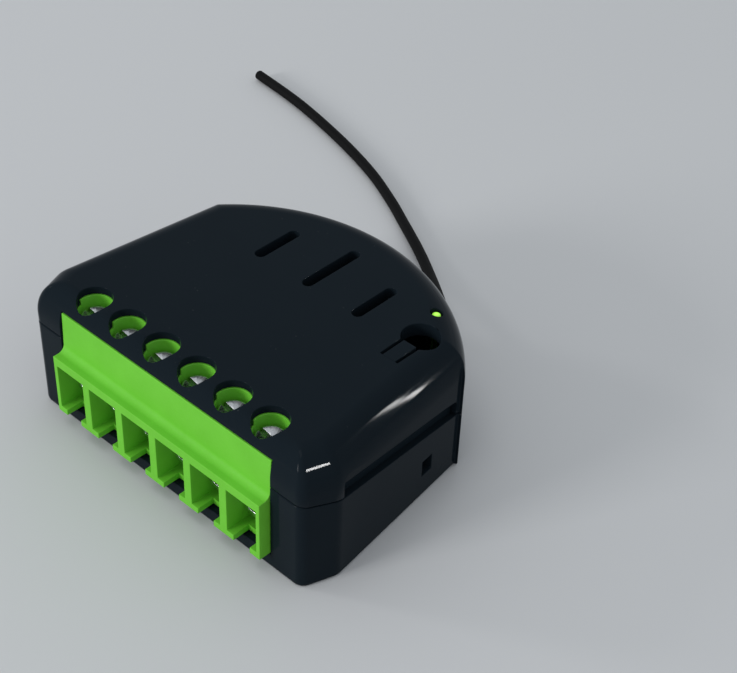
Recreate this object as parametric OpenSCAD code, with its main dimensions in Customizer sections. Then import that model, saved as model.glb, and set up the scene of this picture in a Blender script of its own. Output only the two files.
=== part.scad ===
// In-wall smart relay module: a black two-piece case with a green six-way screw terminal block,
// a service button, a status light, a wire antenna, and the relay, supply and radio inside.
// Millimetres. X runs along the terminals, the terminals face -Y, the round end faces +Y, Z is up.
// The origin is on the underside, in the middle of the case and its terminal block.

/* [Case] */
// Width across the front corners
case_w = 41; // [40:0.5:44]
// Depth from the front wall to the back of the round end
case_d = 32.3; // [31.5:0.1:36]
// Height of the closed case
case_h = 15.6; // [15.4:0.1:19]
// How much the round end's radius exceeds half the width
back_swell = 3; // [2.4:0.1:3.4]
// Thickness of the side walls
wall_t = 1.3; // [1:0.05:1.5]
// Thickness of the floor
floor_t = 1.4; // [1:0.1:1.8]
// Thickness of the top plate
plate_t = 1.5; // [1.2:0.05:1.6]
// Depth of the rounded top edge, along the sides
edge_r = 3.4; // [3:0.1:3.8]
// Height of the rounded top edge
edge_h = 4; // [3.4:0.1:4.4]
// Depth of the front edge's round as a share of the sides'
front_share = 0.75; // [0.6:0.05:0.8]
// Height of the cover's lip above the terminal block
brim_h = 1.9; // [1.8:0.05:2.05]
// Chamfer along the bottom edge
foot_edge = 0.4; // [0.2:0.05:0.8]
// Width of the front corner facet, across the case
corner_x = 1.35; // [0.8:0.05:2]
// Depth of the front corner facet, along the case
corner_y = 3.7; // [2.5:0.1:5]
// Radius where the front wall turns into the corner facet
corner_r = 1.2; // [0.8:0.1:1.6]
// How much each side wall draws in from the corner to the shoulder
side_taper = 2.2; // [1:0.1:2.4]
// Distance from the front wall to the shoulder of the round end
shoulder_d = 23; // [21:0.5:23.5]
// Height of the seam between cover and shell at the front wall
seam_z = 10.5; // [10:0.1:11]
// Slope of the seam, falling to the back
seam_tilt = 8.4; // [6:0.2:9]
// Gap that shows at the seam
seam_gap = 0.12; // [0.08:0.01:0.2]
// Height of the inner rim that locates the cover
rim_rise = 0.9; // [0.6:0.1:1.2]
// Depth of the long recess on each side of the cover
band_depth = 0.65; // [0.65:0.05:0.8]
// Height of the side recess at its front end
band_front = 2.8; // [2.2:0.1:3]
// Height of the side recess at its back end
band_back = 1.9; // [1.4:0.1:2.2]
// Height of the front lip below the terminal block
lip_h = 1.7; // [1.5:0.1:2]

/* [Terminals] */
// Distance between terminals
pitch = 5; // [5:0.02:5.1]
// Wall outside the first and last terminal
end_wall = 0.5; // [0.4:0.05:0.7]
// Width of a wire mouth
mouth_w = 4; // [3.8:0.05:4.1]
// Height of a wire mouth
mouth_h = 5.4; // [5.2:0.1:5.6]
// How far the block stands out of the front wall
block_out = 1.3; // [1:0.1:1.8]
// Distance of the screw row behind the front wall
row_d = 2.7; // [2.6:0.05:3]
// Lean of the block's upper front face
block_lean = 0.2; // [0.1:0.05:0.4]
// Radius between the block's upper face and its ledge
ledge_r = 0.8; // [0.4:0.1:1]
// Thickness of the tabs below a wire mouth
tab_t = 0.7; // [0.5:0.05:0.9]
// Width of the slot between the tabs
tab_slot = 2.2; // [1.8:0.1:2.6]
// Wall above the wire mouths
brow_t = 1.05; // [0.9:0.05:1.3]
// Radius of a screwdriver hole in the cover
driver_r = 1.85; // [1.75:0.05:2]
// Radius of a screw head
head_r = 1.6; // [1.5:0.05:1.65]
// Height of a screw head
head_h = 1.5; // [1.3:0.05:1.6]
// Radius of a screw shank
shank_r = 1.2; // [1.1:0.05:1.25]
// Width of a clamp cage
cage_w = 3.5; // [3.3:0.05:3.5]
// Depth of a clamp cage
cage_d = 3.6; // [3.2:0.1:3.8]
// Sheet thickness of a clamp cage
cage_t = 0.6; // [0.4:0.05:0.6]
// Thickness of the threaded top of a clamp cage
cage_nut = 1.2; // [1:0.1:1.3]
// Travel of a clamp cage
cage_rise = 2; // [1.6:0.1:2.1]
// Thickness of a contact bar
bar_t = 0.7; // [0.6:0.05:0.8]

/* [Top details] */
// Distance between vent slots
vent_pitch = 6.9; // [6.5:0.1:7.2]
// Offset of the vent row from the middle
vent_x = 0.45; // [0.2:0.05:0.7]
// Distance of the vents' front ends behind the front wall
vent_d = 19.6; // [19:0.1:20.4]
// Length of an outer vent
vent_short = 4.8; // [4:0.1:5.4]
// Length of the middle vent
vent_long = 6.7; // [6:0.1:7.4]
// Width of a vent
vent_w = 1.25; // [1:0.05:1.4]
// Button hole: distance from the middle of the case
button_x = 14.2; // [13.9:0.1:14.4]
// Button hole: distance behind the front wall
button_d = 21.3; // [21:0.1:21.6]
// Radius of the button hole
button_r = 2; // [1.8:0.05:2.1]
// Distance of the button tongue's root behind the front wall
tongue_d = 16.65; // [16.4:0.05:16.9]
// Length of the tongue
tongue_l = 3.1; // [2.9:0.1:3.2]
// Width of the tongue
tongue_w = 1.6; // [1.4:0.05:1.8]
// Thickness of the tongue
tongue_t = 1.2; // [1:0.05:1.2]
// Width of the slits beside the tongue
slit_w = 0.35; // [0.3:0.05:0.4]
// Status light: distance from the middle of the case
light_x = 12.7; // [12.5:0.1:12.9]
// Status light: distance behind the front wall
light_d = 25.3; // [25.1:0.1:25.5]
// Radius of the light pipe's lens
lens_r = 0.45; // [0.4:0.05:0.5]
// Radius of the dark ring round the lens
ring_r = 0.65; // [0.6:0.05:0.7]
// Width of a latch window
window_w = 1.6; // [1.4:0.1:1.8]
// Height of a latch window
window_h = 1.95; // [1.6:0.05:2.2]
// Height of a latch window above the underside
window_z = 2.85; // [2.6:0.05:3]
// Distance of the latches behind the front wall
latch_d = 17.85; // [17.6:0.05:18]

/* [Inside] */
// Space between the floor and the circuit board
board_gap = 1; // [0.9:0.05:1.2]
// Thickness of the circuit board
board_t = 1.2; // [1:0.1:1.4]
// Length of the relay
relay_l = 18; // [17.6:0.1:18.2]
// Width of the relay
relay_w = 9.8; // [9.6:0.05:9.9]
// Height of the relay
relay_h = 9.8; // [9.6:0.05:10]
// Wall of the relay's cover
relay_wall = 0.6; // [0.5:0.05:0.6]
// Radius of the electrolytic capacitors
can_r = 3.1; // [2.8:0.05:3.15]
// Height of the electrolytic capacitors
can_h = 9.2; // [7:0.1:9.8]
// Diameter of the antenna wire
wire_d = 1.3; // [1.1:0.1:1.3]
// Fit between pieces that are seated in each other
fit = 0.1; // [0.08:0.01:0.12]
// Running clearance of pieces that move
run = 0.05; // [0.03:0.01:0.06]

/* [Hidden] */
$fn = 48;
WAYS = 6;
far = 100;
past = 1;
back_y = (case_d + block_out) / 2;
front_y = back_y - case_d;
back_r = case_w / 2 + back_swell;
arc_y = back_y - back_r;
shoulder_y = front_y + shoulder_d;
corner_1 = [case_w / 2 - corner_x, front_y];
corner_2 = [case_w / 2, front_y + corner_y];
wall_end = [case_w / 2 - side_taper, shoulder_y];
taper_angle = atan2(side_taper, shoulder_d - corner_y);
short_edge = 0.3;
corner_least = 0.5;
plate_z = case_h - plate_t;
board_z = floor_t + board_gap;
board_top = board_z + board_t;

// Terminal block, from the front to the back and from below to above
block_w = WAYS * pitch - pitch + mouth_w + 2 * end_wall;
block_front = front_y - block_out;
row_y = front_y + row_d;
board_ahead = 0.5;
board_front = row_y - board_ahead;
board_lip = 0.2;
block_low = lip_h + fit;
block_top = plate_z - fit;
land_roof = 0.85;
land_top = case_h - land_roof;
land_ahead = 0.5;
land_front = row_y - land_ahead;
land_behind = 2.3;
land_back = row_y + land_behind;
mouth_z = block_low + tab_t;
mouth_top = mouth_z + mouth_h;
ledge_z = mouth_top + brow_t;
bar_top = mouth_top - fit;
bar_z = bar_top - bar_t;
bar_w = 2.1;
cage_gap = 0.25;
cage_z = board_top + cage_gap;
cage_window_top = bar_top + 2 * fit;
cage_top = cage_window_top + cage_nut;
shelf_t = 0.5;
shelf_z = cage_top + cage_rise + cage_gap;
seat_z = shelf_z + shelf_t;
head_z = seat_z + run;
leg_t = 0.8;
leg_w = 1;
leg_behind = 0.3;
leg_y = row_y + cage_d / 2 + leg_behind;
bar_ahead = 0.65;
bar_front = row_y - cage_d / 2 - bar_ahead;
leg_below = 0.6;
chamber_ahead = 0.15;
chamber_front = row_y - cage_d / 2 - chamber_ahead;
cage_side = 0.5;
slot_w = 0.5;
slot_depth = 0.6;
chamber_behind = 0.2;
chamber_back = leg_y + leg_t + chamber_behind;
block_wall = 0.7;
block_back = chamber_back + block_wall;

// Button, switch and light
button_y = front_y + button_d;
tongue_root = front_y + tongue_d;
tongue_end = tongue_root + tongue_l;
tongue_gap = 0.1;
pusher_side = 1.2;
switch_y = tongue_end - pusher_side / 2;
light_y = front_y + light_d;
latch_y = front_y + latch_d;
arm_t = 0.9;
arm_w = 2.4;
arm_gap = 0.15;
hook_reach = 0.7;
switch_side = 3.6;
switch_h = 3.5;
switch_floor = 0.6;
dome_t = 0.2;
dome_gap = 0.5;
plunger_r = 0.9;
pusher_h = 1.2;
press_gap = 0.35;
plunger_top = case_h - tongue_t - pusher_h - press_gap;
led_size = [1, 0.6, 0.5];
pipe_foot_r = 0.9;
pipe_foot_h = 1.3;
pipe_wall = 0.25;
lens_sink = 0.3;
rim_t = 0.6;
band_start = 0.6;
band_end = 0.4;
rim_in = wall_t - rim_t;
post_r = 1.2;
post_side = 3.9;
post_behind = 2.4;
post_x = 9.5;
post_back = 5.6;
posts = [[case_w / 2 - post_side, row_y + post_behind], [post_x, back_y - post_back]];
board_edge = 0.4;
slack = 0.15;

// Relay, from its own middle on the board
relay_x = -8.3;
relay_behind = 0.7;
relay_y = block_back + relay_behind + relay_l / 2;
relay_base_t = 1;
relay_front = -relay_l / 2 + relay_wall + fit;
coil_z = 5.4;
coil_behind = 2.4;
coil_l = 9.2;
coil_from = relay_front + coil_behind;
coil_to = coil_from + coil_l;
flange_t = 0.6;
flange_w = 6.4;
flange_h = 5.6;
core_r = 1.1;
tube_r = 1.5;
coil_r = 2.7;
yoke_t = 0.8;
yoke_w = 5.6;
yoke_top_z = coil_z + flange_h / 2 + fit;
pole_t = 0.4;
pole_end = coil_to + pole_t;
pole_gap = 0.5;
armature_y = pole_end + pole_gap;
armature_t = 0.8;
yoke_gap = 0.3;
armature_z = 2.9;
blade_t = 0.2;
blade_y = armature_y + armature_t;
button_z = 2.2;
contact_r = 0.6;
contact_reach = 0.4;
closed_gap = 0.08;
closed_y = blade_y + blade_t + contact_reach + closed_gap;
open_ahead = 0.3;
open_y = armature_y - open_ahead;
open_r = 0.45;
open_z = 1.95;
leg_half = 0.4;
leg_hole = 0.7;
spring_leg_t = 0.4;
yoke_behind = 0.9;
yoke_y = relay_front + yoke_behind;
pole_r = 1.9;
armature_half = 2.6;
blade_half = 1.6;
blade_top = 8;
plate_half = 1;
closed_plate = closed_y + contact_reach;
open_plate = open_y - contact_reach - spring_leg_t;
pin_x = 2.9;
pin_y = coil_from + flange_t / 2;
lead_low = -board_t - leg_below;

// Parts of the mains supply and the radio, and where their leads go through the board
lead_r = 0.3;
lead_hole = lead_r + slack;
film_size = [10.4, 4.2, 8.6];
part_gap = 0.4;
film_x = 5.4;
film_behind = 0.6;
film_at = [film_x, block_back + film_behind + film_size[1] / 2];
film_lead = 3.8;
varistor_r = 3;
varistor_rise = 0.5;
varistor_t = 3.2;
varistor_x = 14.2;
varistor_behind = 0.7;
varistor_at = [varistor_x, block_back + varistor_behind + varistor_r];
varistor_lead = 2.5;
can_x = 0.6;
can_gap = 0.6;
can_y = film_at[1] + film_size[1] / 2 + part_gap + can_r;
can_1 = [can_x, can_y];
can_2 = [can_x + 2 * can_r + can_gap, can_y];
can_lead = 1.25;
inductor_r = 1.6;
inductor_waist = 0.8;
inductor_disc = 0.8;
inductor_h = 5;
inductor_x = 13.2;
inductor_behind = 0.3;
inductor_at = [inductor_x, varistor_at[1] + varistor_r + inductor_behind + inductor_r];
inductor_lead = 1;
fuse_x = -15.3;
fuse_behind = 5.25;
fuse_at = [fuse_x, block_back + fuse_behind];
fuse_l = 6.5;
fuse_r = 1.1;
fuse_lead = 4.2;
bridge_size = [4, 2.2, 1.9];
bridge_x = -6.5;
bridge_behind = 0.5;
bridge_at = [bridge_x, relay_y + relay_l / 2 + bridge_behind + bridge_size[1] / 2];
chip_size = [1.6, 2.9, 1.1];
chip_x = -14.6;
chip_behind = 3.1;
chip_at = [chip_x, latch_y + chip_behind];
radio_size = [12, 8.6, 0.8];
radio_x = 3.6;
radio_at = [radio_x, can_y + can_r + part_gap + radio_size[1] / 2];
shield_size = [10, 7.2, 1.8];
shield_t = 0.2;
radio_chip_size = [4, 4, 0.8];
antenna_x = 5;
antenna_z = 4.3;
antenna_behind = 1.2;
antenna_in = radio_at[1] + radio_size[1] / 2 + antenna_behind;
antenna_set = 0.2;
antenna_out = back_y - antenna_set;

// Route of the free antenna wire, from where it leaves the case to its bare end on the floor
antenna_route = [
    [5, 16.6, 4.3], [5, 18.5, 4.3], [4.4, 20.5, 4.1], [3, 22.6, 3.6], [0.6, 24.8, 2.8], [-3, 27.8, 1.7],
    [-8, 31.4, 1], [-14, 35, 0.7], [-18, 37.2, 0.7], [-24, 40, 0.7], [-32, 42.7, 0.7], [-42, 45.2, 0.7],
    [-51.5, 46.6, 0.7]];
rings_per_span = 2;

numbers = [for (i = [1:WAYS]) i];

// Case outline
// Point where two lines meet, each given by a point and a direction
function cross_2(a, b) = a[0] * b[1] - a[1] * b[0];
function meet(p, u, q, v) = p + u * cross_2(q - p, v) / cross_2(u, v);
function unit(v) = v / norm(v);
function inward(v) = [-unit(v)[1], unit(v)[0]];
// Points of a rounded corner at b, on the way from a to c
function turn(a, b, c, r, steps) =
    let (u = unit(a - b), v = unit(c - b), half = acos(u * v) / 2, back = r / tan(half),
         middle = b + unit(u + v) * r / sin(half), start = b + u * back - middle, end = b + v * back - middle,
         from = atan2(start[1], start[0]), sweep = atan2(cross_2(start, end), start * end))
    [for (k = [0:steps]) middle + r * [cos(from + sweep * k / steps), sin(from + sweep * k / steps)]];
// Right half of the outline, moved inward by d, from the front to the back
function half_outline(d) =
    let (facet = corner_2 - corner_1, side = wall_end - corner_2,
         front = [0, front_y + d * front_share],
         first = meet(front, [1, 0], corner_1 + inward(facet) * d, facet),
         second = meet(corner_1 + inward(facet) * d, facet, corner_2 + inward(side) * d, side),
         slope = side[0] / side[1], r = back_r - d,
         lean = 1 + slope * slope, at_arc = second[0] + slope * (arc_y - second[1]),
         crossing = arc_y + (-slope * at_arc + sqrt(lean * r * r - at_arc * at_arc)) / lean,
         stepped = shoulder_y + d < crossing - short_edge,
         step_y = stepped ? shoulder_y + d : crossing - short_edge,
         end = [second[0] + slope * (step_y - second[1]), step_y],
         from = asin(((stepped ? step_y : crossing) - arc_y) / r), steps = 16)
    concat(turn(front, first, second, max(corner_r - d / 2, corner_least), 4), [second, end],
           [for (k = [0:steps]) let (a = from + (90 - from) * k / steps) [0, arc_y] + r * [cos(a), sin(a)]]);
function outline(d) =
    let (right = half_outline(d), last = len(right) - 1)
    concat(right, [for (k = [last - 1:-1:0]) [-right[k][0], right[k][1]]]);
// Solid through outlines stacked upward, each given as [inset, height]
module stack(layers) {
    n = len(outline(0));
    points = [for (layer = layers) for (p = outline(layer[0])) [p[0], p[1], layer[1]]];
    bottom = [for (k = [0:n - 1]) k];
    top = [for (k = [n - 1:-1:0]) (len(layers) - 1) * n + k];
    sides = [for (l = [0:len(layers) - 2]) for (k = [0:n - 1])
        let (a = l * n + k, b = l * n + (k + 1) % n) each [[a, a + n, b + n], [a, b + n, b]]];
    polyhedron(points, concat([bottom], sides, [top]));
}
// Upright prism of the outline, moved inward by d
module prism(d, from, to) {
    translate([0, 0, from]) linear_extrude(to - from) polygon(outline(d));
}
// Everything below the sloping seam, raised by lift
module below_seam(lift) {
    translate([0, front_y, seam_z + lift]) rotate([-seam_tilt, 0, 0])
        translate([-far / 2, -far / 2, -far]) cube([far, 2 * far, far]);
}
// Box from its lowest to its highest corner
module block(low, high) {
    translate(low) cube(high - low);
}
// Opening in both case pieces for the terminal block
module block_opening(low, high) {
    side = block_w / 2 + fit;
    block([-side, block_front - past, low], [side, front_y + wall_t + fit, high]);
}
// Places its children on the right side wall at the latches, with X square to the wall, and on the left
module at_latches() {
    wall_x = wall_end[0] + (shoulder_y - latch_y) * tan(taper_angle);
    for (side = [0, 1]) mirror([side, 0, 0]) translate([wall_x, latch_y, 0]) rotate(taper_angle) children();
}
function seam_at(y) = seam_z - (y - front_y) * tan(seam_tilt);

// Case pieces
module lower_shell() color("#1b2023") {
    difference() {
        union() {
            intersection() {
                stack([[foot_edge, 0], [0, foot_edge], [0, case_h]]);
                below_seam(0);
            }
            intersection() {
                prism(rim_in, floor_t, case_h);
                below_seam(rim_rise);
            }
        }
        prism(wall_t, floor_t, case_h + past);
        block_opening(lip_h, case_h);
        at_latches() block([-2 * wall_t, -window_w / 2, window_z], [past, window_w / 2, window_z + window_h]);
        translate([antenna_x, antenna_in, antenna_z]) rotate([-90, 0, 0])
            cylinder(r = wire_d / 2 + fit, h = far);
    }
    for (p = posts, side = [-1, 1]) translate([side * p[0], p[1], floor_t])
        cylinder(r = post_r, h = board_gap);
}

module slot(length, width) {
    translate([-width / 2, 0, 0]) cube([width, length, far]);
    for (y = [0, length]) translate([0, y, 0]) cylinder(d = width, h = far);
}

module side_recess() {
    from = corner_2[1] + band_start;
    to = shoulder_y - band_end;
    for (side = [0, 1]) mirror([side, 0, 0]) translate([corner_2[0], corner_2[1], 0]) rotate(taper_angle)
        translate([-band_depth, -corner_2[1], 0]) rotate([90, 0, 90]) linear_extrude(2 * past) polygon([
            [from, 0], [to, 0], [to, seam_at(to) + band_back], [from, seam_at(from) + band_front]]);
}

module top_cover() color("#1b2023") {
    round_steps = 8;
    skirt_low = seam_at(back_y) - past;
    edge_layers = [for (k = [0:round_steps]) let (a = 90 * k / round_steps)
        [edge_r * (1 - cos(a)), case_h - edge_h + edge_h * sin(a)]];
    difference() {
        stack(concat([[0, skirt_low]], edge_layers));
        below_seam(seam_gap);
        prism(wall_t, 0, plate_z);
        intersection() {
            prism(rim_in - fit, 0, plate_z);
            below_seam(rim_rise + fit);
        }
        block_opening(0, case_h - brim_h);
        block([-block_w / 2 - fit, land_front - fit, plate_z - past],
              [block_w / 2 + fit, land_back + fit, land_top]);
        for (i = numbers) translate([cell_x(i), row_y, case_h - brim_h - past])
            cylinder(r = driver_r, h = far);
        for (k = [-1:1]) translate([vent_x + k * vent_pitch, front_y + vent_d, plate_z - past])
            slot(k == 0 ? vent_long : vent_short, vent_w);
        translate([button_x, button_y, plate_z - past]) cylinder(r = button_r, h = far);
        block([button_x - tongue_w / 2 - slit_w, tongue_root, plate_z - past],
              [button_x + tongue_w / 2 + slit_w, button_y, case_h + past]);
        translate([light_x, light_y, plate_z - past]) cylinder(r = ring_r, h = far);
        side_recess();
    }
    at_latches() {
        arm_low = window_z + fit;
        block([-wall_t - arm_gap - arm_t, -arm_w / 2, arm_low],
              [-wall_t - arm_gap, arm_w / 2, plate_z + fit]);
        hook_w = window_w - 2 * fit;
        translate([0, hook_w / 2, 0]) rotate([90, 0, 0]) linear_extrude(hook_w) polygon([
            [-wall_t - arm_gap - fit, arm_low], [-wall_t - arm_gap + hook_reach, window_z + window_h - fit],
            [-wall_t - arm_gap - fit, window_z + window_h - fit]]);
    }
}

module service_button() color("#1b2023") {
    low = case_h - tongue_t;
    block([button_x - tongue_w / 2, tongue_root + tongue_gap, low],
          [button_x + tongue_w / 2, tongue_end, case_h]);
    block([button_x - pusher_side / 2, tongue_end - pusher_side, low - pusher_h],
          [button_x + pusher_side / 2, tongue_end, low + fit]);
}

module light_pipe() color("#7be02a") translate([light_x, light_y, board_top]) difference() {
    union() {
        cylinder(r = pipe_foot_r, h = pipe_foot_h);
        cylinder(r = lens_r, h = case_h - board_top - lens_sink);
    }
    translate([0, 0, -past])
        cylinder(r = pipe_foot_r - pipe_wall, h = past + led_size[2] + fit);
}

module status_led() color("#e8e6d8") {
    translate([light_x - led_size[0] / 2, light_y - led_size[1] / 2, board_top]) cube(led_size);
}

// Circuit board with a hole for every lead
relay_legs = [for (y = [yoke_y + yoke_t / 2, open_plate + spring_leg_t / 2, closed_plate + spring_leg_t / 2])
    [relay_x, relay_y + y]];
lead_places = concat(
    [for (s = [-1, 1]) [relay_x + s * pin_x, relay_y + pin_y]],
    [for (s = [-1, 1]) film_at + [s * film_lead, 0]],
    [for (s = [-1, 1]) varistor_at + [0, s * varistor_lead]],
    [for (can = [can_1, can_2]) for (s = [-1, 1]) can + [s * can_lead, 0]],
    [for (s = [-1, 1]) inductor_at + [s * inductor_lead, 0]],
    [for (s = [-1, 1]) fuse_at + [0, s * fuse_lead]]);

module circuit_board() color("#1f6b3a") translate([0, 0, board_z]) linear_extrude(board_t) difference() {
    notch = arm_w + 4 * slack;
    polygon(outline(wall_t + board_edge));
    translate([-far / 2, board_front - far]) square(far);
    at_latches() translate([-wall_t - arm_gap - arm_t - 2 * slack, -notch / 2]) square([far, notch]);
    for (i = numbers) translate([cell_x(i) - leg_w / 2 - fit, leg_y - fit])
        square([leg_w + 2 * fit, leg_t + 2 * fit]);
    for (p = relay_legs) translate(p) circle(r = leg_hole, $fn = 24);
    for (p = lead_places) translate(p) circle(r = lead_hole, $fn = 24);
}

// Terminals
function cell_x(i) = (i - (WAYS + 1) / 2) * pitch;

module terminal_housing() color("#6fc93a") difference() {
    front_top = front_y + fit;
    brim_y = front_y + wall_t + 2 * fit;
    brim_z = case_h - brim_h - fit;
    flange_top = [front_top + block_lean, brim_z];
    ledge_front = [block_front, ledge_z];
    translate([-block_w / 2, 0, 0]) rotate([90, 0, 90]) linear_extrude(block_w) polygon(concat(
        [[block_front, block_low], [board_front - board_lip, block_low], [board_front - board_lip, board_top],
         [block_back, board_top], [block_back, block_top], [land_back, block_top],
         [land_back, land_top - fit], [land_front, land_top - fit], [land_front, block_top],
         [brim_y, block_top], [brim_y, brim_z], flange_top],
        turn(flange_top, [front_top, ledge_z], ledge_front, ledge_r, 5), [ledge_front]));
    for (i = numbers) translate([cell_x(i), 0, 0]) {
        block([-mouth_w / 2, block_front - past, mouth_z],
              [mouth_w / 2, chamber_front + past, mouth_top]);
        block([-mouth_w / 2, chamber_front, mouth_z], [mouth_w / 2, chamber_back, shelf_z]);
        block([-tab_slot / 2, block_front - past, 0], [tab_slot / 2, chamber_front, mouth_z + past]);
        translate([0, row_y, shelf_z - past]) cylinder(r = shank_r + slack, h = far);
        translate([0, row_y, seat_z]) cylinder(r = head_r + slack, h = far);
    }
}

module terminal_screw(i) color("#c9ccd0") translate([cell_x(i), row_y, 0]) difference() {
    union() {
        translate([0, 0, bar_top + fit]) cylinder(r = shank_r, h = head_z - bar_top);
        translate([0, 0, head_z]) cylinder(r = head_r, h = head_h);
    }
    block([-2 * head_r, -slot_w / 2, head_z + head_h - slot_depth], [2 * head_r, slot_w / 2, far]);
}

module clamp_cage(i) color("#c9ccd0") translate([cell_x(i), row_y, 0]) difference() {
    block([-cage_w / 2, -cage_d / 2, cage_z], [cage_w / 2, cage_d / 2, cage_top]);
    block([-cage_w / 2 + cage_side, -cage_d, cage_z + cage_t],
          [cage_w / 2 - cage_side, cage_d, cage_window_top]);
    translate([0, 0, cage_z + cage_t]) cylinder(r = shank_r + run, h = far);
}

module contact_bar(i) color("#d8c48a") translate([cell_x(i), 0, 0]) {
    block([-bar_w / 2, bar_front, bar_z], [bar_w / 2, leg_y + leg_t, bar_top]);
    block([-leg_w / 2, leg_y, board_z - leg_below], [leg_w / 2, leg_y + leg_t, bar_z + fit]);
}

// Relay, each piece placed from the relay's own middle on the board
module at_relay() translate([relay_x, relay_y, board_top]) children();

module relay_legs_cut() {
    for (leg = [[yoke_y, yoke_t], [open_plate, spring_leg_t], [closed_plate, spring_leg_t]])
        block([-leg_half - fit, leg[0] - fit, -past], [leg_half + fit, leg[0] + leg[1] + fit, far]);
    for (s = [-1, 1]) translate([s * pin_x, pin_y, -past]) cylinder(r = lead_r + run, h = far);
}

module relay_base() color("#2b2b2e") at_relay() difference() {
    half = relay_w / 2 - relay_wall - fit;
    block([-half, relay_front, 0], [half, -relay_front, relay_base_t]);
    relay_legs_cut();
}

module relay_cover() color("#2f5f9e") at_relay() difference() {
    block([-relay_w / 2, -relay_l / 2, 0], [relay_w / 2, relay_l / 2, relay_h]);
    block([-relay_w / 2 + relay_wall, -relay_l / 2 + relay_wall, -past],
          [relay_w / 2 - relay_wall, relay_l / 2 - relay_wall, relay_h - relay_wall]);
}

module along_y(from, to, r) {
    translate([0, from, coil_z]) rotate([-90, 0, 0]) cylinder(r = r, h = to - from);
}

module relay_bobbin() color("#e9e4d2") at_relay() difference() {
    union() {
        for (y = [coil_from, coil_to - flange_t]) block([-flange_w / 2, y, coil_z - flange_h / 2],
            [flange_w / 2, y + flange_t, coil_z + flange_h / 2]);
        along_y(coil_from, coil_to, tube_r);
    }
    along_y(coil_from - past, coil_to + past, core_r + run);
}

module relay_coil() color("#b5642d") at_relay() difference() {
    along_y(coil_from + flange_t + run, coil_to - flange_t - run, coil_r);
    along_y(coil_from, coil_to, tube_r + run);
}

module relay_core() color("#9a9da1") at_relay() {
    along_y(yoke_y + yoke_t, pole_end, core_r);
    along_y(coil_to + run, pole_end, pole_r);
}

module relay_yoke() color("#9a9da1") at_relay() {
    block([-yoke_w / 2, yoke_y, relay_base_t], [yoke_w / 2, yoke_y + yoke_t, yoke_top_z + yoke_t]);
    block([-yoke_w / 2, yoke_y, yoke_top_z], [yoke_w / 2, armature_y - yoke_gap, yoke_top_z + yoke_t]);
    block([-leg_half, yoke_y, lead_low], [leg_half, yoke_y + yoke_t, relay_base_t + fit]);
}

module relay_armature() color("#9a9da1") at_relay() {
    block([-armature_half, armature_y, armature_z],
          [armature_half, armature_y + armature_t, yoke_top_z + yoke_t]);
}

module relay_blade() color("#d8a860") at_relay() {
    block([-blade_half, blade_y, button_z - contact_r], [blade_half, blade_y + blade_t, blade_top]);
    translate([0, blade_y - contact_reach, button_z]) rotate([-90, 0, 0])
        cylinder(r = contact_r, h = blade_t + 2 * contact_reach);
}

// Upright plate with a leg through the base and the board
module contact_plate(y, top) {
    block([-plate_half, y, relay_base_t], [plate_half, y + spring_leg_t, top]);
    block([-leg_half, y, lead_low], [leg_half, y + spring_leg_t, relay_base_t + fit]);
}

module relay_contact_closed() color("#d8a860") at_relay() {
    contact_plate(closed_plate, button_z + plate_half);
    translate([0, closed_y, button_z]) rotate([-90, 0, 0]) cylinder(r = contact_r, h = contact_reach + fit);
}

module relay_contact_open() color("#d8a860") at_relay() {
    contact_plate(open_plate, open_z + open_r + fit);
    translate([0, open_plate + fit, open_z]) rotate([-90, 0, 0])
        cylinder(r = open_r, h = spring_leg_t + contact_reach - fit);
}

module relay_coil_pins() color("#d8d8da") at_relay() {
    for (s = [-1, 1]) translate([s * pin_x, pin_y, lead_low])
        cylinder(r = lead_r, h = coil_z - flange_h / 2 - lead_low, $fn = 24);
}

// Switch below the button
module switch_body() color("#303236") translate([button_x, switch_y, board_top]) difference() {
    half = switch_side / 2;
    block([-half, -half, 0], [half, half, switch_h]);
    translate([0, 0, switch_floor]) cylinder(r = plunger_r + fit, h = far);
}

module switch_dome() color("#c9ccd0") translate([button_x, switch_y, board_top + switch_floor]) {
    cylinder(r = plunger_r, h = dome_t);
}

module switch_plunger() color("#e9e4d2") {
    low = board_top + switch_floor + dome_t + dome_gap;
    translate([button_x, switch_y, low]) cylinder(r = plunger_r, h = plunger_top - low);
}

// Mains supply
module leads(at, offset, top) {
    for (s = [-1, 1]) translate([at[0] + s * offset[0], at[1] + s * offset[1], board_z - leg_below])
        cylinder(r = lead_r, h = top - board_z + leg_below, $fn = 24);
}

module film_capacitor() color("#d9b53a") {
    translate([film_at[0] - film_size[0] / 2, film_at[1] - film_size[1] / 2, board_top]) cube(film_size);
    leads(film_at, [film_lead, 0], board_top + lead_r);
}

module varistor() color("#2a62b0") {
    middle = board_top + varistor_rise + varistor_r;
    translate([varistor_at[0] - varistor_t / 2, varistor_at[1], middle])
        rotate([0, 90, 0]) cylinder(r = varistor_r, h = varistor_t);
    leads(varistor_at, [0, varistor_lead], middle);
}

module capacitor(at) color("#20242c") {
    translate([at[0], at[1], board_top]) cylinder(r = can_r, h = can_h);
    leads(at, [can_lead, 0], board_top + lead_r);
}
module capacitor_1() capacitor(can_1);
module capacitor_2() capacitor(can_2);

module inductor_core() color("#3b3b3d") {
    translate([inductor_at[0], inductor_at[1], board_top]) {
        cylinder(r = inductor_waist, h = inductor_h);
        cylinder(r = inductor_r, h = inductor_disc);
        translate([0, 0, inductor_h - inductor_disc]) cylinder(r = inductor_r, h = inductor_disc);
    }
    leads(inductor_at, [inductor_lead, 0], board_top + lead_r);
}

module inductor_winding() color("#b5642d") {
    translate([inductor_at[0], inductor_at[1], board_top + inductor_disc + run]) difference() {
        cylinder(r = inductor_r - slack, h = inductor_h - 2 * inductor_disc - 2 * run);
        translate([0, 0, -past]) cylinder(r = inductor_waist + run, h = inductor_h + 2 * past);
    }
}

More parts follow.
